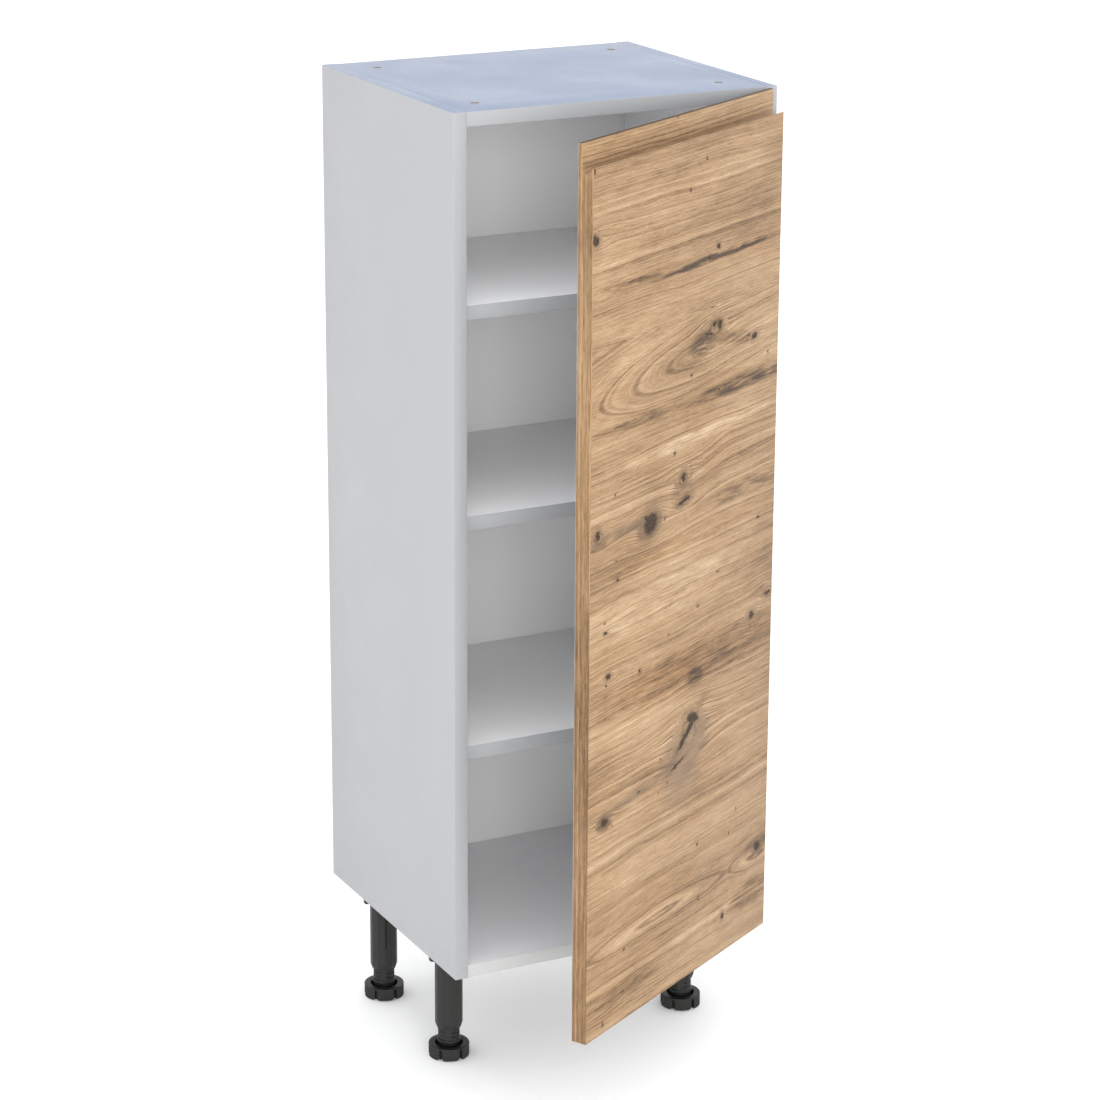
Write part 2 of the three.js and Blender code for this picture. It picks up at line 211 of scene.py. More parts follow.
    def bump(self, height, strength, distance):
        n = self.t.nodes.new("ShaderNodeBump")
        n.inputs["Strength"].default_value = strength
        n.inputs["Distance"].default_value = distance
        self.set(n.inputs["Height"], height)
        self.t.links.new(n.outputs[0], self.bsdf.inputs["Normal"])

    def finish(self, colour=None, rough=None, metal=None, **kw):
        if colour is not None:
            self.set(self.bsdf.inputs["Base Color"], colour)
        if rough is not None:
            self.set(self.bsdf.inputs["Roughness"], rough)
        if metal is not None:
            self.bsdf.inputs["Metallic"].default_value = metal
        for k, v in kw.items():
            self.bsdf.inputs[k].default_value = v
        return self.mat


# ------------------------------------------------------------------ materials
def board_material(name, base, rough=0.42, tint=0.03, seed=0.0):
    """Melamine facing: a very fine pearl texture, faint mottling of the paper
    under it, and a little more gloss where hands and goods rub it."""
    g = Graph(name)
    p = g.scale(g.obj, (1000, 1000, 1000))
    q = g.vec("ADD", p, (seed, seed * 0.7, seed * 1.3))
    fine = g.noise(q, 0.9, 3, 0.6)
    speck = g.noise(q, 0.22, 2, 0.55)
    cloud = g.noise(q, 0.012, 3, 0.5)
    v = g.add(g.lerp(speck, 0.3, 0.7, -tint * 0.45, tint * 0.45), g.lerp(cloud, 0.3, 0.7, -tint, tint))
    v = g.add(v, g.lerp(fine, 0.3, 0.7, -tint * 0.4, tint * 0.4))
    c = g.mix(g.add(v, 0.5), tuple(x * 0.90 for x in base[:3]) + (1,), tuple(min(1, x * 1.10) for x in base[:3]) + (1,))
    rr = g.add(g.lerp(cloud, 0.3, 0.7, rough - 0.05, rough + 0.06), g.lerp(speck, 0.3, 0.7, -0.03, 0.03))
    g.bump(g.add(g.mul(fine, 0.6), g.mul(speck, 0.5)), 0.22, 0.00012)
    return g.finish(c, rr)


mat_board = board_material("melamine_white", srgb(160, 161, 163), 0.45, 0.010, 11)
# The inside facings are brighter copies of the same white melamine: painted light that lifts the shaded inside.
mat_inside_painted_light = board_material("melamine_inside_painted_light", srgb(244, 244, 245), 0.45, 0.008, 19)
# The upper face of the top panel is a bluer, darker copy of the white melamine: a painted reflection of the sky.
mat_top_painted_sky = board_material("melamine_top_painted_sky_reflection", srgb(127, 138, 160), 0.42, 0.006, 37)
mat_band = board_material("edge_band_white", srgb(156, 157, 159), 0.5, 0.010, 71)
# The bottom panel's edge band is a brighter copy of the edge band: painted light bounced up from the floor.
mat_band_painted_floor_light = board_material("edge_band_white_painted_floor_light", srgb(178, 178, 177), 0.5, 0.010, 83)
# The inside of the bottom panel and the inside face of the back are brighter copies too: painted light.
mat_floor_inside_painted_light = board_material("melamine_floor_inside_painted_light", srgb(224, 224, 226), 0.45, 0.008, 29)
mat_back_inside_painted_light = board_material("back_board_inside_painted_light", srgb(245, 245, 245), 0.55, 0.008, 53)
mat_doorback = board_material("door_back_white", srgb(172, 171, 169), 0.42, 0.012, 23)


def core_material():
    """Raw chipboard in holes and grooves."""
    g = Graph("chipboard_core")
    p = g.scale(g.obj, (1000, 1000, 1000))
    n = g.noise(p, 0.55, 4, 0.7)
    n2 = g.noise(g.vec("ADD", p, (31, 7, 3)), 1.6, 2, 0.6)
    c = g.ramp(g.add(g.mul(n, 0.75), g.mul(n2, 0.25)), [(0.3, srgb(112, 84, 55)), (0.5, srgb(172, 140, 100)), (0.72, srgb(212, 186, 148))])
    g.bump(n, 0.5, 0.0004)
    return g.finish(c, 0.85)


mat_core = core_material()

# Knots and cracks of the oak decor: (across, down, half width, half height,
# turn in degrees, darkness), in mm from the free edge and the top of the door.
KNOTS = [
    (5, 101, 6.0, 5.0, 20, 1.0), (189, 1, 2.0, 1.2, 0, 0.7), (229, 50.5, 2.4, 1.6, 20, 0.6), (195, 79, 2.6, 2.2, 0, 0.35),
    (257.5, 151.5, 3.4, 2.6, 20, 0.85), (237, 160.5, 3.6, 1.8, 0, 0.7), (263.5, 240.5, 4.4, 5.2, 30, 0.8),
    (239, 247, 11, 1.6, 10, 0.65), (252, 238, 6, 3, -30, 0.4), (341.5, 269, 5.0, 3.6, -12, 0.95), (328, 267, 3, 1.4, 0, 0.5),
    (204, 285, 2.2, 1.5, 0, 0.7), (373, 295, 1.8, 2.4, 0, 0.5), (265, 314, 1.6, 2.6, -20, 0.5), (171, 366, 2.3, 2.0, 0, 0.75),
    (48, 384, 1.8, 1.4, 0, 0.6), (190.5, 398, 4.6, 5.6, -25, 0.9), (192, 424.5, 12, 2.6, -9, 0.95), (122, 433, 12.5, 10.5, -25, 1.0),
    (113, 425, 5, 2.5, 25, 0.7), (14.5, 419, 4.2, 5.0, 0, 0.85), (56, 479, 2.9, 2.0, 15, 0.75), (359, 485, 3.0, 1.8, 0, 0.6),
    (52, 456.5, 2, 1, 0, 0.4), (152, 436, 1.4, 1.6, 0, 0.6), (32.5, 533, 4.2, 1.6, 0, 0.8), (30, 521.5, 2.2, 1.2, 0, 0.5),
    (270, 527, 2.4, 1.3, 0, 0.6), (226, 555.5, 2.5, 1.8, 0, 0.65), (158, 539, 1.3, 1.0, 0, 0.5), (163, 572, 2.0, 1.3, 0, 0.5),
    (38.5, 583.5, 5.0, 3.2, 10, 0.85), (34.5, 593.5, 2.2, 1.6, 0, 0.6), (103.5, 596, 2.8, 2.6, 0, 0.65),
    (348, 600, 5.8, 4.2, 0, 0.85), (346, 611.5, 2.0, 1.3, 0, 0.5), (385, 582.5, 9, 2.6, 0, 0.6),
    (208, 700, 25, 3.6, -39, 1.0), (218, 685, 11, 5.6, 8, 0.85), (227, 689, 6, 4, 0, 0.7), (188, 731.5, 14.5, 1.6, -17, 0.9),
    (151, 714, 1.8, 1.2, 0, 0.5), (105, 738, 2.6, 1.0, 0, 0.5), (166, 747.5, 2.0, 1.3, 0, 0.5), (147, 753, 1.5, 1.0, 0, 0.45),
    (50, 759, 1.7, 1.2, 0, 0.6), (33.5, 749.5, 6.2, 4.8, 5, 0.9), (235, 845, 2.0, 2.2, 0, 0.4), (307, 856, 1.6, 2.2, 0, 0.4),
    (77.5, 916, 1.8, 1.4, 0, 0.6), (239, 910.5, 1.8, 1.2, 0, 0.5), (239, 915, 1.8, 1.2, 0, 0.5), (375, 894.5, 6.6, 4.2, 18, 0.95),
    (296, 956, 3.4, 4.4, 0, 0.8), (76, 966.5, 2.2, 1.8, 0, 0.65), (33.5, 990, 2.0, 2.2, 0, 0.55), (322, 830, 1.2, 3.0, 0, 0.3),
]
# Where the grain opens round a knot: (across, down, reach along, reach across, strength).
EYES = [
    (2, 101, 30, 11, 0.85), (252, 243, 50, 17, 0.80), (341, 269, 22, 8, 0.8), (190, 400, 30, 15, 0.9), (194, 424, 34, 11, 0.8),
    (122, 433, 46, 20, 0.9), (18, 423, 26, 13, 0.85), (38, 584, 18, 7, 0.8), (348, 600, 26, 10, 0.8), (212, 702, 60, 34, 0.75),
    (33, 749.5, 30, 12, 0.85), (375, 894, 26, 11, 0.8), (296, 956, 16, 8, 0.7), (388, 582, 30, 14, 0.8), (257, 151, 12, 4, 0.7),
]
# Darker, lighter and greyer areas: (across, down, half width, half height, turn, lightness, grey).
STAINS = [
    (265, 162, 150, 5.0, -1, -0.42, 0.0), (80, 158, 62, 5.5, 2, -0.26, 0.0), (330, 316, 130, 11, 0, -0.24, 0.0),
    (90, 311, 120, 7, 0, -0.16, 0.0), (232, 252, 42, 18, -20, -0.26, 0.15), (300, 262, 60, 8, 8, -0.18, 0.0),
    (320, 441, 110, 13, 0, -0.16, 0.0), (80, 427, 60, 9, 6, -0.20, 0.5), (120, 434, 26, 17, -10, -0.28, 0.4),
    (190, 412, 26, 24, 0, -0.14, 0.2), (15, 426, 24, 12, 0, -0.22, 0.3), (215, 622, 240, 30, 0, -0.14, -0.3),
    (222, 638, 20, 12, 0, -0.22, 0.0), (205, 718, 60, 34, -15, -0.20, 0.8), (195, 760, 50, 26, 0, -0.08, 0.6),
    (100, 738, 80, 7, -4, -0.16, 0.6), (33, 750, 20, 12, 0, -0.24, 0.4), (375, 895, 34, 16, 0, -0.16, 0.2),
    (365, 950, 60, 20, 0, -0.20, -0.2), (70, 965, 90, 12, 0, -0.10, 0.0), (200, 356, 220, 8, 0, 0.16, 0.0),
    (180, 525, 230, 26, 0, 0.12, 0.1), (190, 830, 240, 18, 0, 0.08, 0.1), (130, 200, 170, 16, 0, 0.08, 0.0),
    (200, 470, 220, 10, 0, -0.08, -0.2), (100, 800, 120, 10, 0, -0.04, 0.2), (196, 500, 230, 5, 0, 0.06, 0.1),
]


def oak_material(name, along="x", figured=True, light=0.0):
    """Knotty oak. The grain runs along x on the front (or up the edge for
    along='z'); the year rings are level lines of one warped field."""
    g = Graph(name)
    p = g.obj                                           # metres from the swing axis
    x, y, z = g.xyz(p)[0:3]
    u = g.ma(x, 1000, 391.6)                            # mm from the free edge
    v = g.ma(z, -1000, 1002.6)                          # mm down from the top
    s = g.ma(y, 1000, 0.0)
    if along == "z":
        u, v = v, g.ma(g.ma(y, 1000, 1.2), 1.0, 0.0)
        v = g.add(v, g.mul(x, 1000))
    uv = g.join(u, v, 0.0)

    # gentle wander of the grain
    wob = g.noise(g.scale(uv, (0.0042, 0.016, 1)), 1.0, 2, 0.5)
    wob2 = g.noise(g.vec("ADD", g.scale(uv, (0.013, 0.055, 1)), (5.1, 2.2, 0)), 1.0, 2, 0.5)
    amp = (15.0, 2.6) if along == "x" else (8.0, 1.2)
    vv = g.add(v, g.add(g.ma(wob, amp[0], -amp[0] / 2), g.ma(wob2, amp[1], -amp[1] / 2)))

    v0 = vv
    if figured:
        for a, d, ra, rd, m in EYES:
            e = g.vec("MULTIPLY", g.vec("SUBTRACT", uv, (a, d, 0)), (1 / ra, 1 / rd, 0))
            w = g.op("EXPONENT", g.mul(g.vec("DOT_PRODUCT", e, e), -1.0))
            dv = g.sub(v, d)
            vv = g.sub(vv, g.mul(g.mul(dv, w), m))
        # three places where the rings fold back on themselves
        def fold(field, centre, slope, h, lo, hi, soft):
            c = g.ma(u, slope, centre)
            dz = g.sub(field, c)
            r = g.op("SQRT", g.add(g.mul(dz, dz), g.mul(h, h)))
            w = g.mul(g.smooth(v, lo - soft, lo + soft), g.smooth(v, hi - soft, hi + soft, 1.0, 0.0))
            return g.choose(w, field, g.add(r, centre + 40.0))
        h1 = g.mul(g.mx(g.sub(140.0, u), 0.0), 0.07)
        vv1 = fold(vv, 157.0, -0.012, h1, 143.0, 171.0, 5.0)
        h2 = g.mul(g.mx(g.sub(262.0, u), 0.0), 0.16)
        vv2 = fold(vv1, 281.0, -0.085, h2, 205.0, 330.0, 14.0)
        h3 = g.mn(g.mul(g.op("ABSOLUTE", g.sub(u, 150.0)), 0.085), g.mul(g.op("ABSOLUTE", g.sub(u, 372.0)), 0.20))
        vv3 = fold(vv2, 902.0, 0.0, h3, 868.0, 940.0, 8.0)
        # glued-up widths: the pattern jumps at these lines
        jump = g.mul(g.mul(g.smooth(v, 363.7, 364.3), g.smooth(v, 380, 480, 1.0, 0.0)), g.smooth(u, 190, 300, 0.0, 17.0))
        jump = g.add(jump, g.add(g.smooth(v, 656.0, 657.2, 0.0, 143.0), g.smooth(v, 810.5, 811.5, 0.0, 77.0)))
        ring = g.add(vv3, jump)
        # closed rings right round the knots
        eye = None
        for a, d, ra, rd, m in EYES:
            q = g.ellipse(uv, a, d, ra * 0.50, rd * 0.85)
            eye = q if eye is None else g.mn(eye, q)
        eye = g.add(g.op("SQRT", eye), g.ma(wob2, 0.5, -0.25))
        ring = g.choose(g.smooth(eye, 0.55, 1.2, 1.0, 0.0), ring, g.ma(eye, 15.0, 70.0))
        curl = g.smooth(eye, 0.8, 2.6, 1.0, 0.0)
    else:
        ring = vv

    n1 = g.noise(None, 1.0, 4, 0.66, w=g.mul(ring, 0.105))
    n2 = g.noise(None, 1.0, 2, 0.55, w=g.ma(ring, 0.62, 40.0))
    lines = g.op("POWER", g.noise(None, 1.0, 1, 0.5, w=g.ma(ring, 0.33, 9.0)), 2.2)
    # fibres and pores, drawn out along the grain and following it
    fc = g.join(g.mul(u, 0.034), g.mul(vv, 1.25), 0.0)
    fibre = g.noise(fc, 1.0, 4, 0.68)
    pc = g.join(g.mul(u, 0.085), g.mul(vv, 2.3), 3.0)
    pore = g.smooth(g.noise(pc, 1.0, 2, 0.6), 0.60, 0.78)
    broad = g.noise(g.scale(uv, (0.0035, 0.012, 1)), 1.0, 3, 0.55)
    fleck = g.noise(g.join(g.mul(u, 0.02), g.mul(v, 0.12), 8.0), 1.0, 3, 0.6)

    dash = g.noise(g.join(g.mul(u, 0.11), g.mul(vv, 1.9), 17.0), 1.0, 2, 0.6)
    mid = g.noise(g.join(g.mul(u, 0.026), g.mul(vv, 0.40), 23.0), 1.0, 3, 0.62)
    tone = g.ma(n1, 0.74, -0.37)
    tone = g.add(tone, g.ma(mid, 0.48, -0.24))
    tone = g.add(tone, g.ma(n2, 0.34, -0.17))
    tone = g.sub(tone, g.ma(lines, 0.42, -0.10))
    if figured:
        tone = g.ma(g.ma(n2, 1.3, -0.65), curl, tone)
    tone = g.add(tone, g.ma(dash, 0.58, -0.29))
    tone = g.add(tone, g.ma(fibre, 0.80, -0.40))
    tone = g.add(tone, g.ma(broad, 0.85, -0.425))
    tone = g.add(tone, g.ma(fleck, 0.26, -0.13))
    tone = g.sub(tone, g.mul(pore, 0.13))
    grey = g.ma(g.noise(g.scale(uv, (0.006, 0.02, 1)), 1.0, 2, 0.5), 0.6, -0.32)
    if figured:
        patch = g.lerp(g.noise(g.join(g.mul(u, 0.022), g.mul(vv, 0.16), 4.0), 1.0, 3, 0.62), 0.36, 0.64, 0.35, 2.3)
        darker, tint = None, None
        for a, d, ra, rd, rot, li, gr in STAINS:
            m = g.smooth(g.ellipse(uv, a, d, ra, rd, rot), 0.0, 1.3, 1.0, 0.0)
            darker = g.mul(m, li) if darker is None else g.ma(m, li, darker)
            if gr:
                tint = g.mul(m, gr) if tint is None else g.ma(m, gr, tint)
        tone = g.ma(darker, patch, tone)
        grey = g.add(grey, tint)
    tone = g.add(tone, 0.56 + light)

    c = g.ramp(tone, [
        (0.0, srgb(62, 45, 28)), (0.25, srgb(106, 81, 54)), (0.45, srgb(138, 109, 77)),
        (0.62, srgb(158, 128, 95)), (0.80, srgb(173, 145, 112)), (1.0, srgb(192, 168, 138))])
    c = g.mix(g.op("MULTIPLY", g.mx(grey, 0.0), 0.75, clamp=True), c, srgb(140, 117, 94), "MIX")
    warm = g.op("MULTIPLY", g.mx(g.mul(grey, -1.0), 0.0), 0.9, clamp=True)
    c = g.mix(warm, c, g.mix(1.0, c, srgb(252, 226, 190), "MULTIPLY"))

    rough = g.add(g.ma(fibre, 0.14, 0.46), g.mul(pore, 0.08))
    if figured:
        jit = g.noise(g.scale(uv, (0.13, 0.2, 1)), 1.0, 4, 0.7, colour=True)
        juv = g.vec("ADD", uv, g.vec("MULTIPLY", g.vec("SUBTRACT", jit, (0.5, 0.5, 0.5)), (13.0, 10.0, 0)))
        near = None
        for a, d, ra, rd, rot, dark in KNOTS:
            k = 0.55 + 0.8 * dark
            q = g.ellipse(juv, a, d, ra * k, rd * k, rot)
            near = q if near is None else g.mn(near, q)
        near = g.op("SQRT", near)
        crack = g.noise(g.scale(uv, (0.35, 0.9, 1)), 1.0, 3, 0.7)
        core = g.ramp(crack, [(0.30, srgb(24, 17, 12)), (0.50, srgb(46, 33, 22)), (0.68, srgb(92, 70, 48))])
        c = g.mix(g.smooth(near, 0.9, 2.4, 0.38, 0.0), c, srgb(88, 63, 40))
        c = g.mix(g.smooth(near, 0.6, 1.05, 0.95, 0.0), c, core)
        rough = g.add(rough, g.smooth(near, 0.4, 1.0, 0.18, 0.0))
    # relief: fibres, open pores and the largest knots
    bf = g.noise(g.join(g.mul(u, 0.03), g.mul(v0, 1.1), 0.0), 1.0, 3, 0.65)
    bp = g.smooth(g.noise(g.join(g.mul(u, 0.085), g.mul(v0, 2.3), 3.0), 1.0, 2, 0.6), 0.60, 0.78)
    height = g.ma(bp, -0.9, g.mul(bf, 0.7))
    if figured:
        deep = None
        for a, d, ra, rd, rot, dark in [k for k in KNOTS if k[2] * k[3] > 14 and k[5] > 0.75]:
            q = g.ellipse(uv, a, d, ra, rd, rot)
            deep = q if deep is None else g.mn(deep, q)
        height = g.sub(height, g.smooth(deep, 0.2, 1.0, 1.6, 0.0))
    g.bump(height, 0.35, 0.0003)
    return g.finish(c, rough, **{"Specular IOR Level": 0.28})


# Dark brown for the crescent recess at the free end of the lip, painted shade there, and for the narrow top face of the
# back leaf.
def gap_shade_material():
    g = Graph("oak_gap_painted_shade_and_leaf_top")
    n = g.noise(g.scale(g.obj, (1000, 1000, 1000)), 0.8, 3, 0.6)
    g.bump(n, 0.3, 0.0002)
    return g.finish(g.mix(n, srgb(40, 28, 18), srgb(92, 66, 44)), 0.8)


mat_gap_shade_and_leaf_top = gap_shade_material()
mat_oak = oak_material("oak_front")
mat_oak_edge = oak_material("oak_edge", along="z", figured=False, light=-0.08)


def plastic_material(name="black_plastic", a=srgb(33, 33, 32), b=srgb(47, 46, 44)):
    g = Graph(name)
    p = g.scale(g.obj, (1000, 1000, 1000))
    grain = g.noise(p, 1.6, 3, 0.6)
    flow = g.noise(g.scale(p, (0.05, 0.05, 0.012)), 1.0, 3, 0.5)
    dust = g.smooth(g.noise(p, 0.09, 4, 0.65), 0.52, 0.75)
    c = g.mix(g.add(g.mul(flow, 0.5), g.mul(dust, 0.25)), a, b)
    g.bump(grain, 0.25, 0.0001)
    return g.finish(c, g.add(g.ma(grain, 0.16, 0.40), g.mul(dust, 0.12)), **{"Specular IOR Level": 0.3})


def metal_material(name, a, b, rough, brushed=(0.08, 0.9, 0.9)):
    g = Graph(name)
    p = g.scale(g.obj, (1000, 1000, 1000))
    brush = g.noise(g.scale(p, brushed), 1.0, 4, 0.7)
    spot = g.noise(p, 0.11, 3, 0.6)
    wear = g.smooth(g.noise(g.vec("ADD", p, (9, 4, 2)), 0.35, 3, 0.6), 0.58, 0.8)
    c = g.mix(g.add(g.mul(brush, 0.55), g.mul(spot, 0.45)), a, b)
    c = g.mix(g.mul(wear, 0.25), c, srgb(120, 116, 108))
    g.bump(brush, 0.12, 0.00008)
    return g.finish(c, g.add(g.ma(brush, 0.16, rough - 0.08), g.mul(wear, 0.1)), 1.0)


mat_plastic = plastic_material()
# A darker, bluer copy of the black plastic for the foot's upward faces and inner channel: painted shade under the
# carcass.
mat_plastic_painted_shade = plastic_material("black_plastic_painted_shade", srgb(11, 12, 15), srgb(20, 21, 25))
mat_nickel = metal_material("nickel_plated_steel", srgb(176, 176, 172), srgb(214, 213, 208), 0.30)
mat_zinc = metal_material("zinc_die_cast", srgb(104, 107, 112), srgb(148, 150, 152), 0.42, (0.4, 0.4, 0.4))


# ------------------------------------------------------------------ mesh tools
def new_object(name, bm, mats, matrix=None, smooth=None):
    me = bpy.data.meshes.new(name)
    bmesh.ops.recalc_face_normals(bm, faces=bm.faces[:])
    bm.to_mesh(me)
    bm.free()
    for m in mats:
        me.materials.append(m)
    ob = bpy.data.objects.new(name, me)
    bpy.context.scene.collection.objects.link(ob)
    if matrix is not None:
        ob.matrix_world = matrix
    if smooth is not None:
        shade(ob, smooth)
    return ob


def shade(ob, angle=35.0):
    """Smooth shading with sharp edges above an angle."""
    me = ob.data
    bm = bmesh.new()
    bm.from_mesh(me)
    lim = math.radians(angle)
    for f in bm.faces:
        f.smooth = True
    for e in bm.edges:
        e.smooth = len(e.link_faces) == 2 and e.calc_face_angle(0) < lim
    bm.to_mesh(me)
    bm.free()


def bake_modifiers(ob):
    dg = bpy.context.evaluated_depsgraph_get()
    dg.update()
    me = bpy.data.meshes.new_from_object(ob.evaluated_get(dg))
    old = ob.data
    ob.modifiers.clear()
    ob.data = me
    bpy.data.meshes.remove(old)


def boolean(ob, other, op="DIFFERENCE", keep=False):
    m = ob.modifiers.new("b", "BOOLEAN")
    m.operation = op
    m.solver = "EXACT"
    m.object = other
    bake_modifiers(ob)
    if not ob.data.polygons:
        raise RuntimeError("nothing is left of " + ob.name)
    if not keep:
        bpy.data.objects.remove(other)


def box_bm(x0, x1, y0, y1, z0, z1, bevel=0.0, seg=2):
    bm = bmesh.new()
    bmesh.ops.create_cube(bm, size=1.0)
    for v in bm.verts:
        v.co = Vector(((x0 + x1) / 2 + v.co.x * (x1 - x0), (y0 + y1) / 2 + v.co.y * (y1 - y0), (z0 + z1) / 2 + v.co.z * (z1 - z0))) * MM
    if bevel:
        bmesh.ops.bevel(bm, geom=bm.edges[:] + bm.verts[:], offset=bevel * MM, segments=seg, profile=0.5, affect="EDGES")
    return bm


def cylinder_bm(axis, a, b, lo, hi, r, seg=32):
    bm = bmesh.new()
    bmesh.ops.create_cone(bm, cap_ends=True, segments=seg, radius1=r * MM, radius2=r * MM, depth=(hi - lo) * MM)
    m = {"z": Matrix.Identity(4), "x": Matrix.Rotation(math.pi / 2, 4, "Y"), "y": Matrix.Rotation(math.pi / 2, 4, "X")}[axis]
    mid = (lo + hi) / 2
    t = {"z": (a, b, mid), "x": (mid, a, b), "y": (a, mid, b)}[axis]
    bmesh.ops.transform(bm, matrix=Matrix.Translation(Vector(t) * MM) @ m, verts=bm.verts[:])
    return bm


def join_bm(parts):
    bm = bmesh.new()
    for p in parts:
        me = bpy.data.meshes.new("t")
        p.to_mesh(me)
        p.free()
        bm.from_mesh(me)
        bpy.data.meshes.remove(me)
    return bm


def cutter(parts, matrix):
    return new_object("cutter", join_bm(parts), [mat_core], matrix)


# --------------------------------------------------------------------- boards
def board(name, x0, x1, y0, y1, z0, z1, cuts=(), band=("-y",), inside=(), bevel=0.45):
    """A board with rounded-over edges. Slot 0 is its outer facing, 1 its edge
    band (on the bottom panel a brighter copy, painted light from the floor), 2 the raw
    core inside holes and grooves, 3 the facing towards the inside, a brighter
    copy with painted light, 4 the upper face of the top panel, a bluer, darker
    copy with a painted sky reflection."""
    # inside facings get the brighter copies: painted light
    inner = {"back_panel": mat_back_inside_painted_light, "bottom_panel": mat_floor_inside_painted_light}.get(name, mat_inside_painted_light)
    # the bottom panel's edge band is the brighter copy with painted floor light
    skins = [mat_board, mat_band_painted_floor_light if name == "bottom_panel" else mat_band, mat_core, inner, mat_top_painted_sky]
    ob = new_object(name + "_board", box_bm(x0, x1, y0, y1, z0, z1, bevel), skins, CARCASS)
    normals = {"-y": Vector((0, -1, 0)), "+y": Vector((0, 1, 0)), "-x": Vector((-1, 0, 0)), "+x": Vector((1, 0, 0)), "-z": Vector((0, 0, -1)), "+z": Vector((0, 0, 1))}
    for f in ob.data.polygons:
        if any(f.normal.dot(normals[b]) > 0.35 for b in band):
            f.material_index = 1
        # faces towards the inside take the brighter copy with painted light
        elif any(f.normal.dot(normals[b]) > 0.7 for b in inside):
            f.material_index = 3
        # upward faces of the top panel take the copy with the painted sky reflection
        elif f.normal.z > 0.7 and z1 > 1000:
            f.material_index = 4
    if cuts:
        c = cutter(list(cuts), CARCASS)
        c.data.materials.clear()
        for m in skins:
            c.data.materials.append(m)
        for f in c.data.polygons:
            f.material_index = 2
        boolean(ob, c)
    shade(ob, 32)
    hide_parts(name)
    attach(ob, "carcass")
    return ob


SHELVES = {"lower": 278.4, "middle": 549.5, "upper": 789.0}
PIN_Y = (50.0, 290.0)
CAM_Y = (47.0, 302.6)


def side_cuts(sign):
    a, b = (183, 192) if sign > 0 else (-192, -183)
    cuts = [box_bm(a, b, 326.3, 329.9, 8, 996)]
    for top in SHELVES.values():
        for y in PIN_Y:
            cuts.append(cylinder_bm("x", y, top - 19, *( (183, 193.5) if sign > 0 else (-193.5, -183) ), 2.6, 24))
    return cuts


board("side_panel_left", -200, -184, 0, 350, 0, 1004, side_cuts(-1), band=("-y", "-z"), inside=("+x",))
board("side_panel_right", 184, 200, 0, 350, 0, 1004, side_cuts(1), band=("-y", "-z"), inside=("-x",))
for node, z0, up in (("top_panel", 988, True), ("bottom_panel", 0, False)):
    g0, g1 = (987, 996) if up else (8, 17)
    cuts = [box_bm(-190, 190, 326.3, 329.9, g0, g1)]
    for x in (-151.5, 151.5):
        for y in CAM_Y:
            cuts.append(cylinder_bm("z", x, y, *((991.5, 1005) if up else (-1, 12.5)), 4.86, 48))
    board(node, -183.98, 183.98, 0.05, 347, z0, z0 + 16, cuts, band=("-y", "+y"), inside=("-z",) if up else ("+z",))
board("back_panel", -191, 191, 326.6, 329.6, 9, 995, band=(), inside=("-y",), bevel=0.2)
for lv, top in SHELVES.items():
    board("shelf_" + lv, -183, 183, 12.3, 326, top - 16, top, band=("-y", "+x", "-x"), inside=("+z", "-z"))

# ----------------------------------------------------------------------- door
LIP = [(5.6, 0.0), (5.45, -9.0), (5.35, -18.0), (5.3, -25.2), (5.45, -27.4), (6.1, -29.2), (7.0, -30.3), (8.3, -31.1), (9.8, -31.5),
       (11.0, -31.1), (12.4, -30.2), (13.9, -29.2), (15.3, -28.0), (16.5, -26.7), (17.4, -25.5), (18.1, -24.75), (18.6, -24.6), (18.92, -24.75)]
TOP, BOTTOM = 1002.6, 0.9


def door_panel():
    prof = [(0.0, BOTTOM + 0.4), (0.0, TOP - 0.5), (0.15, TOP - 0.12), (0.5, TOP), (5.2, TOP), (5.5, TOP - 0.15)]
    prof += [(s, TOP + z) for s, z in LIP[1:]]
    prof += [(19.0, TOP - 25.1), (19.0, BOTTOM + 0.6), (18.8, BOTTOM + 0.15), (18.4, BOTTOM), (0.4, BOTTOM), (0.12, BOTTOM + 0.12)]
    n = len(prof)
    cs = Vector((0, 0, 0))
    mid_s, mid_z = 9.5, 500.0
    # rounded ends: the last fraction of a millimetre draws in a little
    stations = [(-198.0, 0.5), (-197.87, 0.15), (-197.5, 0.0), (197.5, 0.0), (197.87, 0.15), (198.0, 0.5)]
    bm = bmesh.new()
    # inward offset of each profile point for the rounding
    offs = []
    for i in range(n):
        a, b, c = Vector(prof[i - 1]), Vector(prof[i]), Vector(prof[(i + 1) % n])
        d = ((b - a).normalized() + (c - b).normalized()).normalized()
        offs.append(Vector((d.y, -d.x)))
    area = sum(prof[i - 1][0] * prof[i][1] - prof[i][0] * prof[i - 1][1] for i in range(n))
    flip = 1.0 if area < 0 else -1.0
    rows = []
    for x, k in stations:
        rows.append([bm.verts.new(Vector(((x - SWING_X), -2 - SWING_Y - (prof[i][0] + offs[i].x * k * flip * 1.0), prof[i][1] + offs[i].y * k * flip)) * MM) for i in range(n)])
    for r in range(len(rows) - 1):
        for i in range(n):
            j = (i + 1) % n
            bm.faces.new((rows[r][i], rows[r][j], rows[r + 1][j], rows[r + 1][i]))
    for row in (rows[0], rows[-1]):
        flat = [Vector((v.co.y, v.co.z, 0)) for v in row]
        for tri in tessellate_polygon([flat]):
            bm.faces.new([row[k] for k in tri])
    ob = new_object("door_panel_oak", bm, [mat_oak, mat_oak_edge, mat_doorback, mat_core, mat_gap_shade_and_leaf_top], DOOR)
    return ob


door = door_panel()


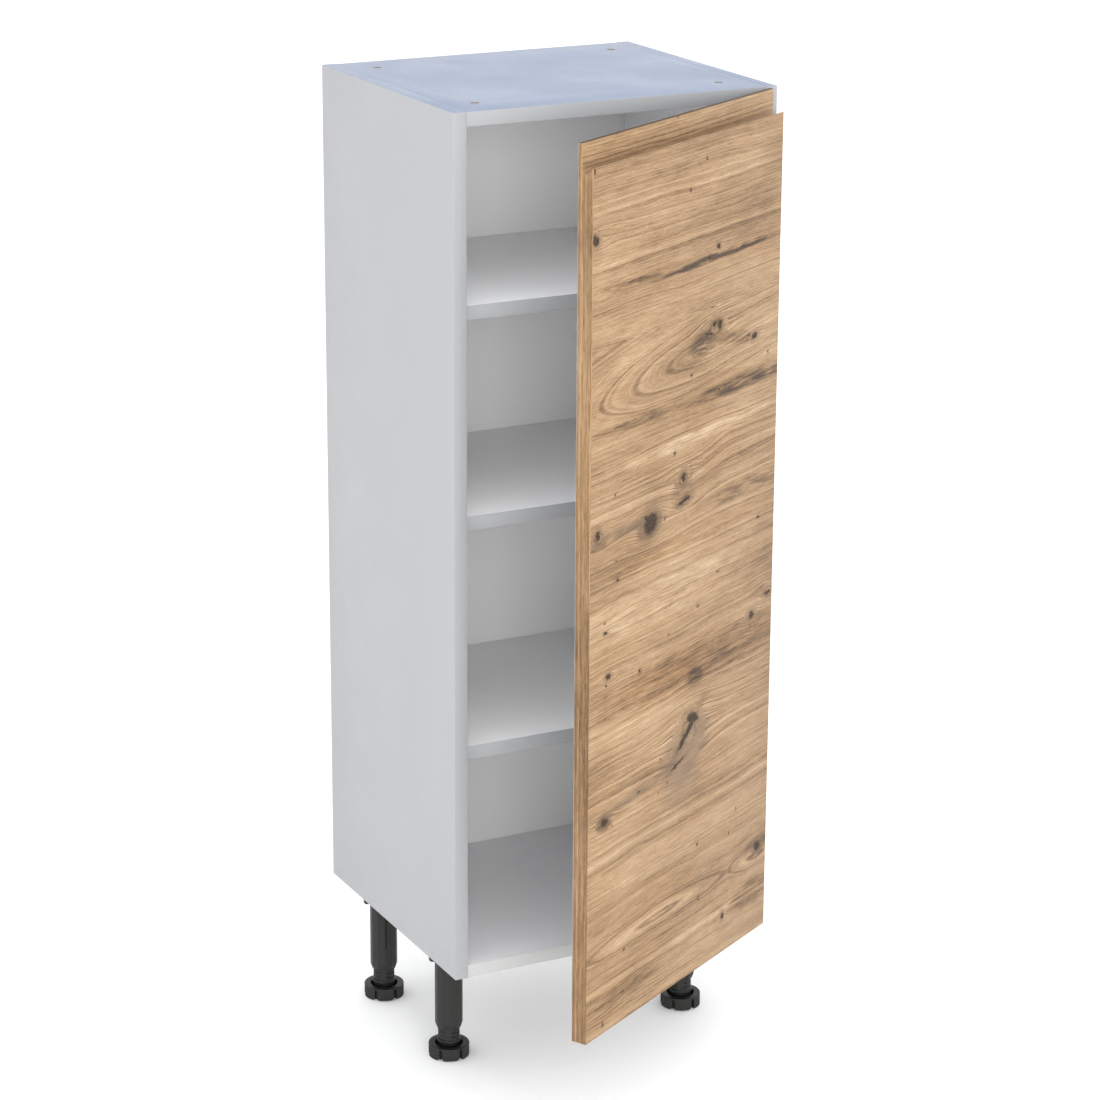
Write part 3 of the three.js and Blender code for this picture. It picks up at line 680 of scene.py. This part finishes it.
def door_materials(me):
    for f in me.polygons:
        if f.material_index in (3, 4):
            continue
        c, nrm = f.center / MM, f.normal
        s = -2 - SWING_Y - c.y
        if nrm.y > 0.5 or s < 0.9:
            f.material_index = 2
        # the top face of the back leaf is drawn in the same dark brown
        elif nrm.z > 0.6 and c.z > 1002:
            f.material_index = 4
        elif abs(nrm.x) > 0.5:
            f.material_index = 1
        elif nrm.z < -0.6 and c.z < 10:
            f.material_index = 1
        else:
            f.material_index = 0


cuts = []
for hz in HINGES.values():
    cuts.append(cylinder_bm("y", 175.5 - SWING_X, hz, -2 - 12.8 - SWING_Y, -1 - SWING_Y, 17.8, 64))
    for dz in (-22.5, 22.5):
        cuts.append(cylinder_bm("y", 166 - SWING_X, hz + dz, -12 - SWING_Y, -1 - SWING_Y, 1.9, 20))
# A shallow crescent recess at the free end of the lip; its dark colour is painted shade.
moon = bmesh.new()
pts = [(math.cos(math.radians(t)) * 3.1, math.sin(math.radians(t)) * 3.7) for t in range(-80, 81, 16)]
pts += [(math.cos(math.radians(t)) * 0.5, math.sin(math.radians(t)) * 3.6) for t in range(80, -81, -16)]
lo_y, hi_y = -21.2 - SWING_Y, -19.6 - SWING_Y
top_ring = [moon.verts.new(Vector((-197.3 - SWING_X + a, lo_y, 974.3 + b)) * MM) for a, b in pts]
low_ring = [moon.verts.new(Vector((-197.3 - SWING_X + a, hi_y, 974.3 + b)) * MM) for a, b in pts]
for k in range(len(pts)):
    j = (k + 1) % len(pts)
    moon.faces.new((top_ring[k], top_ring[j], low_ring[j], low_ring[k]))
for row in (top_ring, low_ring):
    for tri in tessellate_polygon([[Vector((v.co.x, v.co.z, 0)) for v in row]]):
        moon.faces.new([row[k] for k in tri])
cuts.append(moon)
c = cutter(cuts, DOOR)
c.data.materials.clear()
for m in (mat_oak, mat_oak_edge, mat_doorback, mat_core, mat_gap_shade_and_leaf_top):
    c.data.materials.append(m)
for f in c.data.polygons:
    # the crescent at the free end takes the dark brown of painted shade; the hinge holes show raw core
    f.material_index = 4 if f.center.x < -0.3 else 3
boolean(door, c)
door_materials(door.data)
shade(door, 25)
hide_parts("door_panel")
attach(door, "door")

# ----------------------------------------------------------------------- legs
def revolve(rings, seg, fn=None):
    """A turned body from (radius, z) points; fn(r, z, angle, index) may reshape it."""
    bm = bmesh.new()
    rows = []
    for i, (r, z) in enumerate(rings):
        if r == 0:
            rows.append([bm.verts.new(Vector((0, 0, z)) * MM)])
            continue
        row = []
        for k in range(seg):
            t = 2 * math.pi * k / seg
            rr, zz = fn(r, z, t, i) if fn else (r, z)
            row.append(bm.verts.new(Vector((rr * math.cos(t), rr * math.sin(t), zz)) * MM))
        rows.append(row)
    for p, q in zip(rows, rows[1:]):
        for k in range(seg):
            j = (k + 1) % seg
            if len(p) == 1 and len(q) == 1:
                continue
            if len(p) == 1:
                bm.faces.new((p[0], q[j], q[k]))
            elif len(q) == 1:
                bm.faces.new((p[k], p[j], q[0]))
            else:
                bm.faces.new((p[k], p[j], q[j], q[k]))
    return bm


def near_angle(t, centre, period):
    d = (t - centre + period / 2) % period - period / 2
    return d


def moved(bm, x=0.0, y=0.0, z=0.0, turn=0.0):
    bmesh.ops.transform(bm, matrix=Matrix.Translation(Vector((x, y, z)) * MM) @ Matrix.Rotation(turn, 4, "Z"), verts=bm.verts[:])
    return bm


def screw_head(r, h, down=True, recess=True, seg=28):
    """A pan head on the plane z = 0, with a cross recess, as one mesh."""
    k = -1 if down else 1
    bm = revolve([(0, 0.3 * -k), (r, 0.3 * -k), (r, k * h * 0.3), (r * 0.93, k * h * 0.68), (r * 0.72, k * h * 0.92), (r * 0.45, k * h), (0, k * h)], seg)
    ob = new_object("head", bm, [mat_zinc])
    if recess:
        w, l = r * 0.17, r * 0.58
        near_, far_ = k * h * 0.25, k * h * 1.3
        for sx_, sy_, f in ((l, w, 1.0), (w, l, 0.96)):
            slot_bm = box_bm(-sx_, sx_, -sy_, sy_, min(near_ * f, far_ / f), max(near_ * f, far_ / f))
            boolean(ob, new_object("cutter", slot_bm, [mat_zinc]))
    bm = bmesh.new()
    bm.from_mesh(ob.data)
    bpy.data.objects.remove(ob)
    return bm


def tube_mesh(slot):
    n_flat = 12
    per = 2 * math.pi / n_flat

    def fn(r, z, t, i):
        if 14.6 < r:
            d = near_angle(t, math.radians(-104 + 8), per)
            flat = (r - 0.42) / max(0.2, math.cos(d))
            r = min(r, flat)
        if slot is not None and z > -80.9 and r > 14:
            w = abs(near_angle(t, math.radians(slot), 2 * math.pi)) * r
            if w < 0.95:
                r -= 1.4 if z > -80.4 else 0.0
        return r, z
    zs = [-4.4, -8, -20, -40, -60, -72, -80.3, -80.6, -92, -105.2]
    rings = [(0, -3.6), (16.0, -3.6), (16.5, -4.1)] + [(16.5, z) for z in zs]
    rings += [(16.45, -105.9), (16.25, -106.3), (14.85, -110.5), (14.6, -110.9), (14.0, -111), (13.8, -110.7), (13.8, -30.2), (13.5, -30), (0, -30)]
    bm = revolve(rings, 240, fn)
    me = bpy.data.meshes.new("leg_tube")
    bmesh.ops.recalc_face_normals(bm, faces=bm.faces[:])
    bm.to_mesh(me)
    bm.free()
    return me


def foot_mesh():
    pitch = 5.3

    def stem(r, z, t, i):
        if -125.6 < z < -62.8:
            ph = ((z + 112.1) / pitch + t / (2 * math.pi)) % 1.0
            d = min(ph, 1 - ph) * pitch
            cut = min(1.0, max(0.0, 1.0 - (d - 0.45) / 0.9)) * 1.7
            q = near_angle(t, math.radians(-118), math.pi / 2)
            flat = 12.7 / max(0.3, math.cos(q))
            return (min(r, flat) if abs(q) < math.radians(17) else r - cut), z
        return r, z
    zs = [-62.9 - 0.53 * k for k in range(0, 119)]
    rings = [(0, -62), (12.2, -62), (12.9, -62.3)] + [(13.2, z) for z in zs]
    rings += [(13.2, -125.8), (13.9, -126), (14.3, -126.3), (14.4, -126.8), (14.4, -128.2), (14.2, -128.6), (13.6, -128.8), (13.2, -129), (13.2, -140.6), (12.8, -141.5), (0, -141.5)]
    body = revolve(rings, 120, stem)

    teeth = 66

    def rim(r, z, t, i):
        k = 0.5 - 0.5 * math.cos(teeth * t)
        if r > 23.3:
            depth = 0.5 if z < -133.2 else 0.0
            r = r - depth * k
        if z < -147.0 and r > 22.0:
            z = z + 1.35 * k
        return r, z
    rr = [(0, -145), (14.8, -145), (15.2, -145.3), (15.9, -147.6), (16.3, -148), (22.3, -148), (23.4, -148), (24.0, -147.7), (24.25, -147.2), (24.25, -144), (24.25, -138), (24.25, -133.4),
          (24.25, -133.0), (24.1, -132.5), (23.7, -132.15), (23.2, -132.1), (17.3, -132.1), (16.8, -132.2), (16.45, -132.7), (16.4, -133.2), (16.4, -140.4), (16.0, -140.9), (15.6, -141), (0, -141)]
    ring = new_object("rim", revolve(rr, 396, rim), [mat_plastic])
    wedge = []
    for k in range(6):
        bm = bmesh.new()
        poly = [(-2.2, -134.2), (2.2, -134.2), (2.2, -144.2), (3.2, -149), (-5.4, -149), (-2.2, -144.2)]
        a_ = [bm.verts.new(Vector((19.2, p, z)) * MM) for p, z in poly]
        b_ = [bm.verts.new(Vector((27.0, p, z)) * MM) for p, z in poly]
        for i in range(6):
            j = (i + 1) % 6
            bm.faces.new((a_[i], a_[j], b_[j], b_[i]))
        bm.faces.new(a_)
        bm.faces.new(list(reversed(b_)))
        bmesh.ops.recalc_face_normals(bm, faces=bm.faces[:])
        wedge.append(moved(bm, turn=math.radians(-78.7 + 60 * k)))
    boolean(ring, new_object("cutter", join_bm(wedge), [mat_plastic]))
    rbm = bmesh.new()
    rbm.from_mesh(ring.data)
    bpy.data.objects.remove(ring)
    ribs = [moved(box_bm(12.8, 16.8, -0.5, 0.5, -141.2, -134.6, 0.15), turn=math.radians(-112 + 60 * k)) for k in range(6)]
    me = bpy.data.meshes.new("leg_foot")
    whole = join_bm([body, rbm] + ribs)
    bmesh.ops.recalc_face_normals(whole, faces=whole.faces[:])
    whole.normal_update()
    for f in whole.faces:
        m_ = f.calc_center_median() / MM
        r_ = math.hypot(m_.x, m_.y)
        # upward faces of the rim and the inner channel take the darker copy: painted shade
        if (f.normal.z > 0.6 and r_ > 13.2 and -142 < m_.z < -131) or (m_.z < -129 and 12.6 < r_ < 17.0):
            f.material_index = 1
    whole.to_mesh(me)
    whole.free()
    return me


def socket_parts():
    plate = revolve([(0, -3.0), (19.5, -3.0), (28.3, -3.2), (28.8, -2.9), (29.0, -2.5), (29.0, -0.02), (0, -0.02)], 96)
    ring = revolve([(16.8, -2.0), (16.8, -13.5), (17.2, -13.9), (18.0, -14.0), (19.2, -14.0), (19.7, -13.7), (19.9, -13.2), (19.9, -4.2), (20.6, -3.4), (21.4, -2.6)], 96)
    bits = [plate, ring]
    lugs = [(-33, -27), (33, -27), (0, math.hypot(33, 27))]
    for cx, cy in lugs:
        bits.append(moved(revolve([(0, -10.5), (2.2, -10.45), (3.4, -10.1), (4.3, -9.3), (4.8, -8.2), (5.0, -6.8), (5.0, -0.02), (0, -0.02)], 40), cx, cy))
        t = math.atan2(cy, cx)
        bits.append(moved(box_bm(20, 42, -4.8, 4.8, -3.15, -0.02, 0.5), turn=t))
        for w in (-4.2, 4.2):
            bits.append(moved(box_bm(19, 40, w - 0.7, w + 0.7, -8.4, -1, 0.3), turn=t))
    for k in range(6):
        t = math.radians(60 * k)
        bits.append(moved(box_bm(19.2, 27.5, -0.7, 0.7, -6.4, -1, 0.3), turn=t))
    return join_bm(bits), [moved(screw_head(3.6, 2.0), 24.3 * math.cos(math.radians(a_)), 24.3 * math.sin(math.radians(a_)), -3.15) for a_ in (-90, 150, 30)]


def socket_mesh():
    body, heads = socket_parts()
    me = bpy.data.meshes.new("leg_socket")
    bm = bmesh.new()
    t = bpy.data.meshes.new("t")
    bmesh.ops.recalc_face_normals(body, faces=body.faces[:])
    body.to_mesh(t)
    body.free()
    bm.from_mesh(t)
    n = len(bm.faces)
    hb = join_bm(heads)
    hb.to_mesh(t)
    hb.free()
    bm.from_mesh(t)
    bm.faces.ensure_lookup_table()
    for f in bm.faces[n:]:
        f.material_index = 1
    bm.to_mesh(me)
    bm.free()
    return me


tube_a, tube_b = tube_mesh(-104), tube_mesh(64)
foot_me, socket_me = foot_mesh(), socket_mesh()
for me in (tube_a, tube_b, foot_me, socket_me):
    me.materials.append(mat_plastic)
socket_me.materials.append(mat_zinc)
foot_me.materials.append(mat_plastic_painted_shade)
for me in (tube_a, tube_b, foot_me, socket_me):
    t = bpy.data.objects.new("t", me)
    shade(t, 30)
    bpy.data.objects.remove(t)
for (where, side), (lx, ly) in LEGS.items():
    at = Matrix.Translation(C(lx, ly, 0))
    for part, me, body in (("socket", socket_me, "carcass"), ("tube", tube_a if where == "back" and side == "left" else tube_b, "carcass"), ("foot", foot_me, "foot_%s_%s" % (where, side))):
        ob = bpy.data.objects.new("leg_%s_%s_%s_piece" % (part, where, side), me)
        bpy.context.scene.collection.objects.link(ob)
        ob.matrix_world = at
        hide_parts("leg_%s_%s_%s" % (part, where, side))
        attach(ob, body)


# ----------------------------------------------------------------------- cams
def cam_mesh():
    bm = revolve([(0, -11.5), (4.4, -11.5), (4.7, -11.2), (4.7, -0.5), (4.55, -0.15), (4.3, 0), (3.75, 0), (3.6, -0.25), (3.2, -0.3), (0, -0.3)], 48)
    ob = new_object("cam", bm, [mat_zinc])
    boolean(ob, new_object("cutter", join_bm([box_bm(-2.6, 2.6, -0.55, 0.55, -2.6, 1), box_bm(-0.55, 0.55, -2.6, 2.6, -2.62, 1.02)]), [mat_zinc]))
    arrow = bmesh.new()
    tri = [(2.9, -0.8), (4.5, 0.0), (2.9, 0.8)]
    a_ = [arrow.verts.new(Vector((x, y, -0.45)) * MM) for x, y in tri]
    b_ = [arrow.verts.new(Vector((x, y, 0.5)) * MM) for x, y in tri]
    for i in range(3):
        j = (i + 1) % 3
        arrow.faces.new((a_[i], a_[j], b_[j], b_[i]))
    arrow.faces.new(a_)
    arrow.faces.new(list(reversed(b_)))
    bmesh.ops.recalc_face_normals(arrow, faces=arrow.faces[:])
    boolean(ob, new_object("cutter", arrow, [mat_zinc]))
    shade(ob, 30)
    me = ob.data
    bpy.data.objects.remove(ob)
    return me


cam_me = cam_mesh()
for level in ("top", "bottom"):
    for where, y in zip(("front", "back"), CAM_Y):
        for side, x in (("left", -151.5), ("right", 151.5)):
            ob = bpy.data.objects.new("cam_%s_%s_%s_piece" % (level, where, side), cam_me)
            bpy.context.scene.collection.objects.link(ob)
            turn = Matrix.Rotation(0 if side == "right" else math.pi, 4, "Z")
            if level == "top":
                ob.matrix_world = Matrix.Translation(C(x, y, 1003.6)) @ turn
            else:
                ob.matrix_world = Matrix.Translation(C(x, y, 0.4)) @ turn @ Matrix.Rotation(math.pi, 4, "X")
            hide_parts("cam_%s_%s_%s" % (level, where, side))
            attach(ob, "carcass")

# ------------------------------------------------- plain nodes kept from CAD
for name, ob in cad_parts.items():
    m = None
    if name.startswith(("hinge_plate_screw", "hinge_cup_screw")):
        m = mat_zinc
    elif name.startswith(("hinge_", "shelf_pin")):
        m = mat_nickel
    if m:
        ob.data.materials.clear()
        ob.data.materials.append(m)
        bv = ob.modifiers.new("edge", "BEVEL")
        bv.width = 0.0003
        bv.segments = 2
        bv.limit_method = "ANGLE"
        bv.angle_limit = math.radians(40)

# adjusting screws on the hinge arms
for level, hz in HINGES.items():
    parts = []
    for y in (22.0, 46.0):
        parts.append((y, screw_head(3.1, 1.1, down=False)))
    bm = bmesh.new()
    for y, h in parts:
        m_ = Matrix.Translation(Vector((158.75, y, hz)) * MM) @ Matrix.Rotation(-math.pi / 2, 4, "Y")
        bmesh.ops.transform(h, matrix=m_, verts=h.verts[:])
    ob = new_object("hinge_adjusters_" + level, join_bm([h for y, h in parts]), [mat_zinc], CARCASS, smooth=30)
    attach(ob, "carcass")

# ------------------------------------------------------- floor, light, camera
floor_bm = bmesh.new()
bmesh.ops.create_grid(floor_bm, x_segments=1, y_segments=1, size=30)
gf = Graph("pale_floor")
fn = gf.noise(gf.scale(gf.obj, (1.2, 1.2, 1.2)), 1.0, 3, 0.5)
mat_floor = gf.finish(gf.mix(fn, (0.93, 0.925, 0.915, 1), (0.96, 0.955, 0.945, 1)), 0.9)
floor = new_object("floor", floor_bm, [mat_floor], Matrix.Translation((0, 0, 0)))

world = bpy.data.worlds.new("studio")
bpy.context.scene.world = world
world.use_nodes = True
wt = world.node_tree
wt.nodes.clear()
wo = wt.nodes.new("ShaderNodeOutputWorld")
bg = wt.nodes.new("ShaderNodeBackground")
tc = wt.nodes.new("ShaderNodeTexCoord")
sx = wt.nodes.new("ShaderNodeSeparateXYZ")
rp = wt.nodes.new("ShaderNodeValToRGB")
wt.links.new(tc.outputs["Generated"], sx.inputs[0])
wt.links.new(sx.outputs[2], rp.inputs[0])
wt.links.new(rp.outputs[0], bg.inputs[0])
wt.links.new(bg.outputs[0], wo.inputs[0])
el = rp.color_ramp.elements
el[0].position, el[0].color = 0.0, (1.0, 1.0, 1.0, 1)
el[1].position, el[1].color = 1.0, (0.98, 1.0, 1.03, 1)
bg.inputs[1].default_value = 1.4


def area(name, loc, target, size, power, colour=(1, 1, 1)):
    d = bpy.data.lights.new(name, "AREA")
    d.shape = "RECTANGLE"
    d.size, d.size_y = size
    d.energy = power
    d.color = colour
    o = bpy.data.objects.new(name, d)
    bpy.context.scene.collection.objects.link(o)
    o.location = loc
    o.rotation_euler = (Vector(target) - Vector(loc)).to_track_quat("-Z", "Y").to_euler()
    return o


area("key_soft", (-1.4, -4.4, 1.5), (0, 0.1, 0.6), (2.4, 2.4), 100, (1.0, 0.995, 0.985))

cam_d = bpy.data.cameras.new("camera")
cam = bpy.data.objects.new("camera", cam_d)
bpy.context.scene.collection.objects.link(cam)
bpy.context.scene.camera = cam
az, elv, roll = math.radians(26.837), math.radians(16.701), math.radians(0.208)
cam_d.sensor_width = 36.0
cam_d.lens = 3371.63 / 1100 * 36.0
cam_d.shift_x = 0.5 - 530 / 1100
cam_d.shift_y = 500 / 1100 - 0.5
back = Vector((-math.sin(az) * math.cos(elv), -math.cos(az) * math.cos(elv), math.sin(elv)))
right = (-back).cross(Vector((0, 0, 1))).normalized()
down = (-back).cross(right)
cr, sr = math.cos(roll), math.sin(roll)
r2 = right * cr - down * sr
d2 = right * sr + down * cr
rot = Matrix((r2, -d2, back)).transposed().to_4x4()
cam.matrix_world = Matrix.Translation(C(-1726.23, -3201.18, 1639.49)) @ rot
cam_d.clip_start, cam_d.clip_end = 0.1, 60
bpy.context.scene.view_settings.view_transform = "Standard"
bpy.context.scene.view_settings.look = "None"
